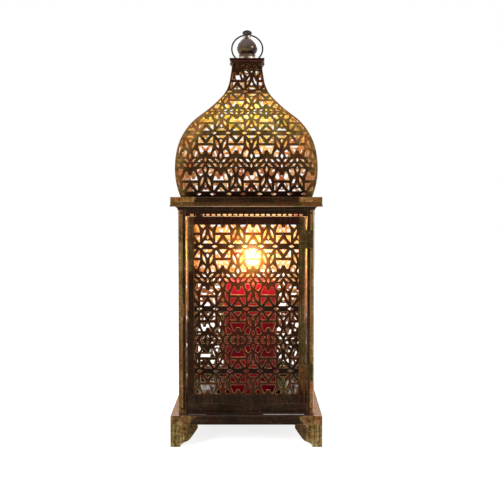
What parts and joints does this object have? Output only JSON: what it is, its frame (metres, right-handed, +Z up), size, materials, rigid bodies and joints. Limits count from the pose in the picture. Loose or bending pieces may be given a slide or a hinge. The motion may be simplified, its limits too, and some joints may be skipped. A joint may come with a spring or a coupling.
{
  "type": "candle lantern",
  "caption": "Moorish style metal candle lantern with a pierced square body, hinged door, onion dome, finial and ring bail, holding a red pillar candle.",
  "frame": {"origin": "centre of the square footprint, on the plane of the foot bottoms", "axes": "+Z up through the finial; -Y is the door side; +X is the side of the door's hinges"},
  "size_m": [0.185, 0.185, 0.5283],
  "materials": {
    "plinth_bronze": "dark antique bronze with gold dry-brushed edges",
    "body_bronze": "dark antique bronze, gold rubbed",
    "filigree_bronze": "dark antique bronze pierced sheet",
    "dome_bronze": "dark antique bronze pierced sheet, gold rubbed",
    "hardware": "antique bronze, worn bright on the edges",
    "finial_bronze": "satin antique bronze",
    "bail_wire": "black wire",
    "pan_steel": "dark satin paint",
    "red_wax": "red wax",
    "wick_cotton": "charred cotton"
  },
  "bodies": {
    "lantern_body": {"foot_front_left": "plinth_bronze", "foot_front_right": "plinth_bronze", "foot_back_left": "plinth_bronze", "foot_back_right": "plinth_bronze", "plinth_tray": "plinth_bronze", "cornice": "plinth_bronze", "cavetto_moulding": "plinth_bronze", "post_front_left": "body_bronze", "post_front_right": "body_bronze", "post_back_left": "body_bronze", "post_back_right": "body_bronze", "sill_ring": "body_bronze", "lintel_ring": "body_bronze", "frame_right": "body_bronze", "frame_back": "body_bronze", "frame_left": "body_bronze", "door_stops": "body_bronze", "filigree_right": "filigree_bronze", "filigree_back": "filigree_bronze", "filigree_left": "filigree_bronze", "dome_front": "dome_bronze", "dome_right": "dome_bronze", "dome_back": "dome_bronze", "dome_left": "dome_bronze", "dome_lid": "dome_bronze", "neck_sleeve": "dome_bronze", "hinge_upper_post_leaf": "hardware", "hinge_upper_pin": "hardware", "hinge_lower_post_leaf": "hardware", "hinge_lower_pin": "hardware", "hinge_rivets_post": "hardware", "latch_pivot": "hardware", "post_rivets": "hardware", "frame_rivets_right": "hardware", "frame_rivets_back": "hardware", "frame_rivets_left": "hardware", "finial_nut": "hardware", "finial": "finial_bronze", "floor_pan": "pan_steel", "candle_pan": "pan_steel"},
    "door": {"door_frame": "body_bronze", "door_filigree": "filigree_bronze", "door_rivets": "hardware", "hinge_upper_door_leaf": "hardware", "hinge_lower_door_leaf": "hardware", "hinge_rivets_door": "hardware"},
    "latch": {"latch_lever": "hardware"},
    "bail": {"bail_ring": "bail_wire"},
    "candle_unit": {"candle": "red_wax", "wick": "wick_cotton"}
  },
  "joints": [
    {"name": "door_swing", "type": "hinge", "parent": "lantern_body", "child": "door", "pos_m": [0.07355, -0.08502, 0.1657], "axis": [0, 0, 1], "range_deg": [0, 170]},
    {"name": "latch_turn", "type": "hinge", "parent": "lantern_body", "child": "latch", "pos_m": [-0.0782, -0.0841, 0.1657], "axis": [0, -1, 0], "range_deg": [0, 90]},
    {"name": "bail_swing", "type": "hinge", "parent": "lantern_body", "child": "bail", "pos_m": [0, 0, 0.4831], "axis": [-1, 0, 0], "range_deg": [-6.5, 43]},
    {"name": "candle_lift", "type": "slide", "parent": "lantern_body", "child": "candle_unit", "axis": [0, 0, 1], "range_m": [0, 0.03]}
  ]
}
